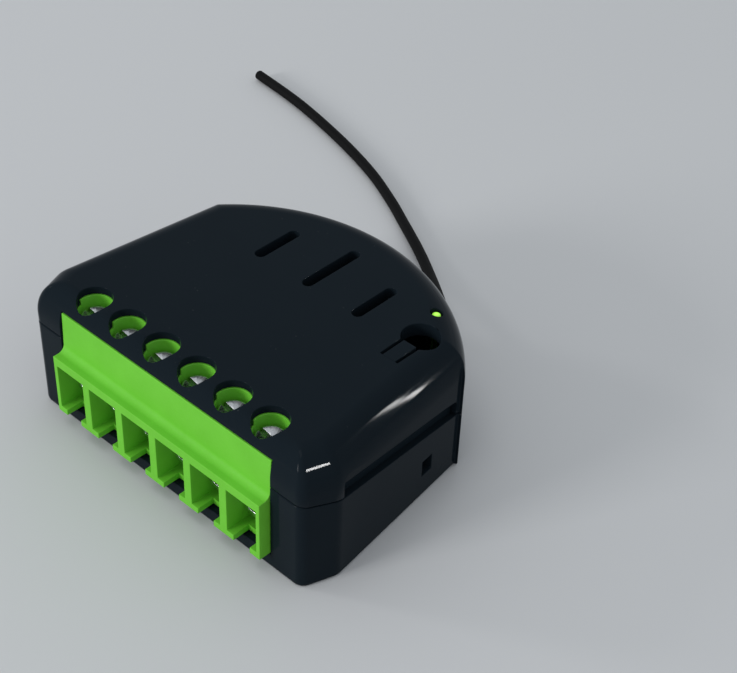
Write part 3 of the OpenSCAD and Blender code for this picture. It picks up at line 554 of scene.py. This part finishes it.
# Relay
# A sealed power relay: a blue moulded cover over a coil on a cream bobbin, an iron core and yoke, a sprung
# armature with a bronze blade, and two fixed contacts whose legs go through the base into the board.
relay_blue = moulded("relay_blue", (0.01, 0.045, 0.2), (0.014, 0.06, 0.25), (0.28, 0.42))
relay_dark = moulded("relay_dark", (0.008, 0.008, 0.009), (0.014, 0.014, 0.016), (0.4, 0.6))
bobbin_cream = moulded("bobbin_cream", (0.62, 0.56, 0.42), (0.7, 0.64, 0.5), (0.4, 0.55))
iron = metal("iron", (0.36, 0.37, 0.38), (0.5, 0.5, 0.51), (0.25, 0.4))
contact_bronze = metal("contact_bronze", (0.5, 0.28, 0.09), (0.66, 0.4, 0.15), (0.22, 0.36))
contact_tin = metal("contact_tin", (0.58, 0.52, 0.38), (0.72, 0.66, 0.5), (0.2, 0.34))
dress(relay_blue, "relay_cover")
dress(relay_dark, "relay_base")
dress(bobbin_cream, "relay_bobbin")
dress(copper, "relay_coil")
dress(iron, "relay_core", "relay_yoke", "relay_armature")
dress(contact_bronze, "relay_blade", "relay_contact_closed", "relay_contact_open")
dress(contact_tin, "relay_coil_pins")

# Switch and lamp below the button and the light pipe
# A small push switch, moulded in dark plastic with a snap dome of steel and a cream plunger, and a white lamp
# chip. Both are soldered on the board.
led_white = moulded("led_white", (0.7, 0.68, 0.55), (0.78, 0.76, 0.62), (0.3, 0.45))
dress(relay_dark, "switch_body")
dress(steel_plated, "switch_dome")
dress(bobbin_cream, "switch_plunger")
dress(led_white, "status_led")

# Terminal housing
# One green polyamide moulding with six chambers. Its ledge stands out of the case's front opening, each wire
# mouth has two tabs below it, and it is held down by the cover's brim.
BLOCK_X, PITCH, ROW_Y = 15.0, 5.0, -12.8
NOSE_Y, FLANGE_Y, FLANGE_FOOT_Y, BLOCK_BACK = -16.8, -15.2, -15.4, -9
BLOCK_LOW, LEDGE_Z, FLANGE_Z, DECK_Z = 1.8, 8.95, 13.6, 14
BOARD_STEP_Y, BOARD_STEP_Z, BRIM_STEP_Y = -13.5, 3.6, -14
RIB_FRONT, RIB_BACK, RIB_Z = -13.3, -10.5, 14.65
CHAMBER_X, CHAMBER_FRONT, CHAMBER_BACK, CHAMBER_LOW, CHAMBER_HIGH = 2, -14.75, -9.7, 2.5, 11.45
MOUTH_BACK, MOUTH_HIGH = -13.75, 7.9
TAB_GAP_X, TAB_HIGH = 1.1, 3.5
SHANK_HOLE_R, HEAD_SEAT_R, HEAD_SEAT_Z = 1.35, 1.75, 11.95
cells = [(i - 3.5) * PITCH for i in range(1, 7)]


def extruded(profile, low, high, axis):
    """A flat profile drawn out along an axis, its points taken as the other two axes in order."""
    rings = []
    for end in (low, high):
        ring = []
        for a, b in profile:
            place = [a, b]
            place.insert(axis, end)
            ring.append(Vector(place))
        rings.append(ring)
    shape = loft(rings)
    bmesh.ops.recalc_face_normals(shape, faces=shape.faces)
    return shape


ledge_turn = round_corner(Vector((FLANGE_Y, FLANGE_Z)), Vector((FLANGE_FOOT_Y, LEDGE_Z)),
                          Vector((NOSE_Y, LEDGE_Z)), 0.8, 8)
block_profile = [
    (NOSE_Y, BLOCK_LOW), (BOARD_STEP_Y, BLOCK_LOW), (BOARD_STEP_Y, BOARD_STEP_Z), (BLOCK_BACK, BOARD_STEP_Z),
    (BLOCK_BACK, DECK_Z), (RIB_BACK, DECK_Z), (RIB_BACK, RIB_Z), (RIB_FRONT, RIB_Z), (RIB_FRONT, DECK_Z),
    (BRIM_STEP_Y, DECK_Z), (BRIM_STEP_Y, FLANGE_Z), (FLANGE_Y, FLANGE_Z), *map(tuple, ledge_turn),
    (NOSE_Y, LEDGE_Z)]
mouths, chambers, tab_gaps, shank_holes, head_seats = [], [], [], [], []
for x in cells:
    start, end = x - CHAMBER_X, x + CHAMBER_X
    mouths.append(box_shape((start, NOSE_Y - 1, CHAMBER_LOW), (end, MOUTH_BACK, MOUTH_HIGH)))
    chambers.append(box_shape((start, CHAMBER_FRONT, CHAMBER_LOW), (end, CHAMBER_BACK, CHAMBER_HIGH)))
    tab_gaps.append(box_shape((x - TAB_GAP_X, NOSE_Y - 1, 0), (x + TAB_GAP_X, CHAMBER_FRONT, TAB_HIGH)))
    shank_holes.append(rod_shape((x, ROW_Y, CHAMBER_HIGH - 1), (0, 0, 1), SHANK_HOLE_R, length=8, sides=48))
    head_seats.append(rod_shape((x, ROW_Y, HEAD_SEAT_Z), (0, 0, 1), HEAD_SEAT_R, length=8))
housing = cut_away(extruded(block_profile, -BLOCK_X, BLOCK_X, 0), together(mouths), together(chambers),
                   together(tab_gaps), together(shank_holes), together(head_seats))
round_edges(housing, 0.07, lambda p: p.y < -14.8 or p.z > 13)
terminal_green = moulded("terminal_green", (0.142, 0.53, 0.03), (0.158, 0.57, 0.037), (0.5, 0.64),
                         grain_scale=3500.0, swell_scale=260.0, depth=0.000005, shine=0.25)
place_piece("terminal_moulding", housing, terminal_green, "module", "terminal_housing")

# Contact bars
# Six tinned brass strips, stamped and bent down at the back into a narrow leg that is soldered in the board.
# Each runs through its cage, which presses the wire up against it.
BAR_X, BAR_FRONT, BAR_BACK, BAR_LOW, BAR_HIGH, BAR_CHAMFER = 1.05, -15.25, -9.9, 7.1, 7.8, 0.1
LEG_X, LEG_FRONT, LEG_LOW, BESIDE_BAR = 0.5, -10.7, 1.8, 1.3
bar_bend = round_corner(Vector((BAR_BACK, LEG_LOW)), Vector((BAR_BACK, BAR_HIGH)),
                        Vector((BAR_FRONT, BAR_HIGH)), 0.6, 6)
bar_profile = [
    (BAR_FRONT, BAR_LOW + BAR_CHAMFER), (BAR_FRONT + BAR_CHAMFER, BAR_LOW), (LEG_FRONT, BAR_LOW),
    (LEG_FRONT, LEG_LOW), (BAR_BACK, LEG_LOW), *map(tuple, bar_bend), (BAR_FRONT + BAR_CHAMFER, BAR_HIGH),
    (BAR_FRONT, BAR_HIGH - BAR_CHAMFER)]
for number, x in enumerate(cells, 1):
    beside_leg = [box_shape((x + start, LEG_FRONT - 0.1, 1), (x + end, BAR_BACK + 0.1, 7))
                  for start, end in ((-BESIDE_BAR, -LEG_X), (LEG_X, BESIDE_BAR))]
    bar = cut_away(extruded(bar_profile, x - BAR_X, x + BAR_X, 0), together(beside_leg))
    round_edges(bar, 0.04)
    place_piece(f"contact_strip_{number}", bar, contact_tin, "module", f"contact_bar_{number}")

# Clamp cages
# Six cages folded from plated steel strip, butted at the bottom, tapped in the thick top for the screw and
# with grip teeth pressed into the floor. Each slides up and down in its chamber.
CAGE_X, CAGE_FRONT, CAGE_BACK, CAGE_LOW, CAGE_HIGH = 1.75, -14.6, -11.0, 3.85, 9.2
WIRE_ROOM_X, WIRE_ROOM_LOW, WIRE_ROOM_HIGH = 1.25, 4.45, 8
TAPPED_R, BUTT_GAP = 1.25, 0.08
TOOTH_X, TOOTH_Y, TOOTH_LOW, TOOTH_HIGH = 1.15, 0.14, 4.28, 4.6
AHEAD_OF_CAGE, BEHIND_CAGE = -16, -9
tooth_rows = (-14.1, -13.66, -13.23, -12.8, -12.37, -11.94, -11.5)


def rounded_rectangle(low, high, radius, steps):
    """Corner points of a rectangle with round corners."""
    corners = [Vector(low), Vector((high[0], low[1])), Vector(high), Vector((low[0], high[1]))]
    points = []
    for k in range(4):
        points += round_corner(corners[k - 1], corners[k], corners[(k + 1) % 4], radius, steps)
    return points


for number, x in enumerate(cells, 1):
    outside = rounded_rectangle((x - CAGE_X, CAGE_LOW), (x + CAGE_X, CAGE_HIGH), 0.45, 5)
    inside = rounded_rectangle((x - WIRE_ROOM_X, WIRE_ROOM_LOW), (x + WIRE_ROOM_X, WIRE_ROOM_HIGH), 0.2, 4)
    teeth = [extruded([(y - TOOTH_Y, TOOTH_HIGH), (y, TOOTH_LOW), (y + TOOTH_Y, TOOTH_HIGH)],
                      x - TOOTH_X, x + TOOTH_X, 0) for y in tooth_rows]
    cage = cut_away(extruded(outside, CAGE_FRONT, CAGE_BACK, 1),
                    extruded(inside, AHEAD_OF_CAGE, BEHIND_CAGE, 1),
                    rod_shape((x, ROW_Y, 7.2), (0, 0, 1), TAPPED_R, length=4, sides=48), together(teeth),
                    box_shape((x - BUTT_GAP / 2, AHEAD_OF_CAGE, 3), (x + BUTT_GAP / 2, BEHIND_CAGE, 4.7)))
    round_edges(cage, 0.05, lambda p: abs(p.y - ROW_Y) > 1.7)
    place_piece(f"cage_{number}_strip", cage, steel_plated, f"cage_{number}", f"clamp_cage_{number}")

# Terminal screws
# Six slotted screws of plated steel. The dished heads are turned, with a broken edge and a milled slot, and
# the shanks are rolled with a fine right-handed thread.
HEAD_R, SHANK_R, THREAD_PITCH, THREAD_DEPTH = 1.6, 1.2, 0.45, 0.2
THREAD_LOW, THREAD_HIGH, THREAD_RINGS, EASED_RINGS = 8.15, 11.75, 64, 6
SLOT_W, SLOT_Z = 0.5, 12.9


def lathe(x, y, profile, sides):
    """A turned shape about an upright axis from radii, plain or depending on the angle, and heights."""
    rings = []
    for radius, z in profile:
        ring = []
        for k in range(sides):
            a = 2 * math.pi * k / sides
            r = radius(a) if callable(radius) else radius
            ring.append(Vector((x + r * math.cos(a), y + r * math.sin(a), z)))
        rings.append(ring)
    return loft(rings)


def thread(z, share):
    """Rule for the radius of the thread at a height, with its depth eased off at both ends."""
    def radius(a):
        phase = (z / THREAD_PITCH - a / (2 * math.pi)) % 1
        return SHANK_R - THREAD_DEPTH * (share * abs(2 * phase - 1) + 1 - share)
    return radius


tip_profile = [(0.8, 7.9), (0.95, 7.98), (1.0, 8.1)]
shank_profile = []
for k in range(THREAD_RINGS + 1):
    z = THREAD_LOW + (THREAD_HIGH - THREAD_LOW) * k / THREAD_RINGS
    share = min(1, k / EASED_RINGS, (THREAD_RINGS - k) / EASED_RINGS)
    shank_profile.append((thread(z, share), z))
head_profile = [
    (1.0, 11.82), (1.0, 12.02), (1.45, 12.02), (1.55, 12.06), (HEAD_R, 12.15), (HEAD_R, 13.27),
    (1.575, 13.36), (1.53, 13.44), (1.46, 13.49), (1.38, 13.5), (1.3, 13.48), (0.4, 13.24), (0.15, 13.2)]
for number, x in enumerate(cells, 1):
    milled_slot = box_shape((x - 2, ROW_Y - SLOT_W / 2, SLOT_Z), (x + 2, ROW_Y + SLOT_W / 2, 14.5))
    screw = cut_away(lathe(x, ROW_Y, tip_profile + shank_profile + head_profile, 48), milled_slot)
    round_edges(screw, 0.03, lambda p: p.z > SLOT_Z - 0.05)
    place_piece(f"screw_{number}_turned", screw, steel_plated, f"screw_{number}", f"terminal_screw_{number}")

# Top cover
# The lid, moulded in the same glossy black plastic with a large round along its top edge. Its skirt is cut
# back along each side above the seam, where the shell's rim shows, and two latch arms hook into the shell.
CASE_H, PLATE_Z, BRIM_Z, SEAM_GAP = 15.6, 14.1, 13.7, 0.12
EDGE_DEPTH, EDGE_H, EDGE_STEPS = 3.4, 4.0, 20
BAND_FROM, BAND_TO, BAND_DEPTH, BAND_FRONT, BAND_BACK = -11.2, 7.1, 0.65, 2.8, 1.9
rings = [case_ring(WALL, PLATE_Z), case_ring(WALL, above_seam(RIM_RISE + FIT)),
         case_ring(RIM_IN - FIT, above_seam(RIM_RISE + FIT)), case_ring(RIM_IN - FIT, above_seam(SEAM_GAP)),
         case_ring(SEAM_SOFT, above_seam(SEAM_GAP)),
         case_ring(SEAM_SOFT_MIDDLE, above_seam(SEAM_GAP + SEAM_SOFT_MIDDLE)),
         case_ring(0, above_seam(SEAM_GAP + SEAM_SOFT)), case_ring(0, CASE_H - EDGE_H)]
for k in range(1, EDGE_STEPS + 1):
    a = math.pi / 2 * k / EDGE_STEPS
    rings.append(case_ring(EDGE_DEPTH * (1 - math.cos(a)), CASE_H - EDGE_H + EDGE_H * math.sin(a)))


def slot_shape(x, y, length, width, low, high, steps=12):
    """An upright cutter with round ends, running back from its first end's middle."""
    outline = []
    for middle, start in ((y, math.pi), (y + length, 0)):
        for k in range(steps + 1):
            a = start + math.pi * k / steps
            outline.append((x + width / 2 * math.cos(a), middle + width / 2 * math.sin(a)))
    return extruded(outline, low, high, 2)


band_low, band_high = BAND_FROM - corner_2.y, BAND_TO - corner_2.y
band_corners = [Vector((band_low, 0)), Vector((band_high, 0)),
                Vector((band_high, seam_at(BAND_TO) + BAND_BACK)),
                Vector((band_low, seam_at(BAND_FROM) + BAND_FRONT))]
band_profile = band_corners[:2] + round_corner(*band_corners[1:], 0.5, 6)
band_profile += round_corner(band_corners[2], band_corners[3], band_corners[0], 1.0, 10)
recesses = []
for side in (1, -1):
    recess = extruded([tuple(p) for p in band_profile], -BAND_DEPTH, 2, 0)
    recesses.append(on_side_wall(recess, side, corner_2.x, corner_2.y))
DRIVER_HOLE_R, ROOF_Z = 1.85, RIB_Z + FIT
VENT_X, VENT_STEP, VENT_Y, VENT_W = 0.45, 6.9, 4.1, 1.25
BUTTON_X, BUTTON_Y, BUTTON_R = 14.2, 5.8, 2.0
TONGUE_ROOT, TONGUE_GAP_X = 1.15, 1.15
LIGHT_X, LIGHT_Y, LIGHT_HOLE_R = 12.7, 9.8, 0.65
UNDER_PLATE, OVER_TOP = 13, 17
THROUGH = OVER_TOP - UNDER_PLATE
vents = [slot_shape(VENT_X + k * VENT_STEP, VENT_Y, length, VENT_W, UNDER_PLATE, OVER_TOP)
         for k, length in ((-1, 4.8), (0, 6.7), (1, 4.8))]
cover = cut_away(
    loft(rings), box_shape((-OPENING_X, AHEAD_OF_CASE, -1), (OPENING_X, OPENING_Y, BRIM_Z)),
    together([rod_shape((x, ROW_Y, 12.4), (0, 0, 1), DRIVER_HOLE_R, length=6) for x in cells]),
    box_shape((-OPENING_X, RIB_FRONT - FIT, UNDER_PLATE), (OPENING_X, RIB_BACK + FIT, ROOF_Z)),
    together(vents), rod_shape((BUTTON_X, BUTTON_Y, UNDER_PLATE), (0, 0, 1), BUTTON_R, THROUGH, sides=72),
    box_shape((BUTTON_X - TONGUE_GAP_X, TONGUE_ROOT, UNDER_PLATE),
              (BUTTON_X + TONGUE_GAP_X, BUTTON_Y, OVER_TOP)),
    rod_shape((LIGHT_X, LIGHT_Y, UNDER_PLATE), (0, 0, 1), LIGHT_HOLE_R, THROUGH, sides=40),
    together(recesses))


def cover_edge(p):
    """Whether an edge of the cover shows from outside: a rim of a hole in the top, or the front brim."""
    under_roof = abs(p.z - ROOF_Z) < 0.02 and p.y > -13.9
    tongue_root = abs(p.y - TONGUE_ROOT) < 0.02
    front_brim = p.y < -14.9 and abs(p.x) < 15.3
    return front_brim or (p.z > 14.45 and not under_roof and not tongue_root)


round_edges(cover, 0.08, cover_edge)
for corner in cover.verts:
    corner.co.z = min(corner.co.z, CASE_H)
ARM_IN, ARM_OUT, ARM_Y, ARM_LOW, ARM_HIGH = -2.35, -1.45, 1.2, 2.95, 14.2
HOOK_IN, HOOK_OUT, HOOK_Y, HOOK_HIGH = -1.55, -0.75, 0.7, 4.7
latches = []
for side in (1, -1):
    arm = round_edges(box_shape((ARM_IN, -ARM_Y, ARM_LOW), (ARM_OUT, ARM_Y, ARM_HIGH)), 0.15)
    hook = extruded([(HOOK_IN, ARM_LOW), (HOOK_OUT, HOOK_HIGH), (HOOK_IN, HOOK_HIGH)], -HOOK_Y, HOOK_Y, 1)
    latches += [on_side_wall(part, side, latch_x, LATCH_Y) for part in (arm, hook)]
place_piece("cover_moulding", together([cover] + latches), case_black, "module", "top_cover")

# Service button
# A tongue of the cover's black plastic between two slits, with a pusher under its end for the switch. It is
# moulded on to the cover and bends at its root.
TONGUE_X, TONGUE_LOW, TONGUE_END = 0.8, 14.4, 4.25
PUSHER_FROM, PUSHER_LOW, BESIDE_PUSHER_X, BESIDE_PUSHER_W = 3.05, 13.2, 0.85, 0.5
tongue_profile = [(1.17, CASE_H), (1.17, 15.4), (1.25, 15.1), (1.25, TONGUE_LOW), (PUSHER_FROM, TONGUE_LOW),
                  (PUSHER_FROM, PUSHER_LOW), (TONGUE_END, PUSHER_LOW), (TONGUE_END, CASE_H)]
beside_pusher = []
for side in (1, -1):
    middle = BUTTON_X + side * BESIDE_PUSHER_X
    beside_pusher.append(box_shape((middle - BESIDE_PUSHER_W / 2, PUSHER_FROM - 0.15, UNDER_PLATE),
                                   (middle + BESIDE_PUSHER_W / 2, TONGUE_END + 0.15, TONGUE_LOW)))
tongue = cut_away(extruded(tongue_profile, BUTTON_X - TONGUE_X, BUTTON_X + TONGUE_X, 0),
                  together(beside_pusher))
round_edges(tongue, 0.06, lambda p: p.y > 1.4)
place_piece("button_tongue", tongue, case_black, "button", "service_button")

# Light pipe
# A clear moulded rod with a domed end, standing over the lamp chip; its end glows green in the dark ring of
# the cover's hole. That glow is painted on the rod's end, as emission and as a lighter green base colour,
# while the lamp chip under it gives no light.
PIPE_R, PIPE_TOP, FOOT_R, FOOT_LOW, CUP_R = 0.45, 15.3, 0.9, 3.6, 0.65
GLOW_GREEN, DARK_GREEN, LIT_GREEN = (0.45, 1.0, 0.08, 1), (0.01, 0.05, 0.005, 1), (0.3, 0.8, 0.1, 1)
pipe = lathe(LIGHT_X, LIGHT_Y, [
    (CUP_R, 4.2), (CUP_R, FOOT_LOW), (FOOT_R, FOOT_LOW), (FOOT_R, 4.8), (0.8, 4.9), (PIPE_R, 4.95),
    (PIPE_R, 15.1), (0.42, 15.19), (0.33, 15.25), (0.2, 15.29), (0.08, PIPE_TOP)], 32)
lens_clear, tree, shader = new_material("lens_clear")
place = add_node(tree, "ShaderNodeTexCoord").outputs["Object"]
reach = add_node(tree, "ShaderNodeVectorMath", {
    0: place, 1: (LIGHT_X * MM, LIGHT_Y * MM, PIPE_TOP * MM)}, operation="DISTANCE").outputs["Value"]
# Painted glow: emission and a lighter green base colour, full at the rod's tip and gone 0.65 mm from it
glow = stretch(tree, reach, 0.0001, 0.00065, 1.0, 0.0)
tree.links.new(tint(tree, glow, (0, 0, 0, 1), GLOW_GREEN), shader.inputs["Emission Color"])
shader.inputs["Emission Strength"].default_value = 1.0
tree.links.new(tint(tree, glow, DARK_GREEN, LIT_GREEN), shader.inputs["Base Color"])
shader.inputs["Roughness"].default_value = 0.15
place_piece("light_pipe_rod", pipe, lens_clear, "module", "light_pipe")

# Floor and studio light
# A plain pale floor under an even overall light, with soft boxes above the case, in front of it and at its
# left. Three narrow strips at its right only make the glints on the rounded edge and on the near corner.
FLOOR_LOW, FLOOR_HALF = 0.00002, 1500
FLOOR_DARK, FLOOR_PALE = (0.6, 0.605, 0.61, 1), (0.64, 0.645, 0.65, 1)
FULL_BEAM, NARROW_BEAM = 180, 30
floor_shape = bmesh.new()
bmesh.ops.create_grid(floor_shape, x_segments=8, y_segments=8, size=FLOOR_HALF)
floor_white, tree, shader = new_material("floor_white")
skin = use_group(tree, moulded_skin, grain_scale=900.0, swell_scale=6.0)
tree.links.new(tint(tree, skin.outputs["Swell"], FLOOR_DARK, FLOOR_PALE), shader.inputs["Base Color"])
shader.inputs["Roughness"].default_value = 0.7
studio_floor = make_piece("studio_floor", floor_shape, floor_white)
studio_floor.location.z = -FLOOR_LOW


def soft_box(name, place, target, size, power, tilt=0.0, beam=FULL_BEAM):
    """A rectangular lamp that faces a point, tilted in its own plane. A narrow one shows only in gloss."""
    lamp = bpy.data.lights.new(name, "AREA")
    lamp.shape = "RECTANGLE"
    lamp.size, lamp.size_y = size
    lamp.energy = power
    lamp.spread = math.radians(beam)
    holder = bpy.data.objects.new(name, lamp)
    holder.location = place
    holder.rotation_mode = "QUATERNION"
    facing = (Vector(target) - Vector(place)).to_track_quat("-Z", "Y")
    holder.rotation_quaternion = facing @ Quaternion((0, 0, 1), math.radians(tilt))
    holder.visible_diffuse = beam == FULL_BEAM
    bpy.context.scene.collection.objects.link(holder)


soft_box("upper_light", (-0.08, -0.16, 0.78), (0, 0, 0), (0.3, 0.3), 0.5)
soft_box("front_light", (-0.24, -0.72, 0.25), (0, 0, 0), (0.2, 0.2), 2.5)
soft_box("left_light", (-0.64, -0.36, 0.32), (0, 0, 0), (0.1, 0.1), 0.6)
streak, near_corner = (0.0184, -0.0019, 0.0144), (0.0191, -0.0131, 0.0143)
soft_box("streak_light_high", (0.1977, 0.2032, 0.1327), streak, (0.0045, 0.07), 0.004, -14.8, NARROW_BEAM)
soft_box("streak_light_low", (0.2206, 0.2121, 0.0665), streak, (0.0045, 0.065), 0.004, -3.2, NARROW_BEAM)
soft_box("corner_light", (0.286, -0.01, 0.152), near_corner, (0.0136, 0.032), 0.01, 0, NARROW_BEAM)
world = bpy.data.worlds.new("studio")
bpy.context.scene.world = world
world.use_nodes = True
overall_light = world.node_tree.nodes["Background"]
overall_light.inputs["Color"].default_value = (0.9, 0.95, 1, 1)
overall_light.inputs["Strength"].default_value = 0.6
bpy.context.scene.view_settings.view_transform = "Standard"
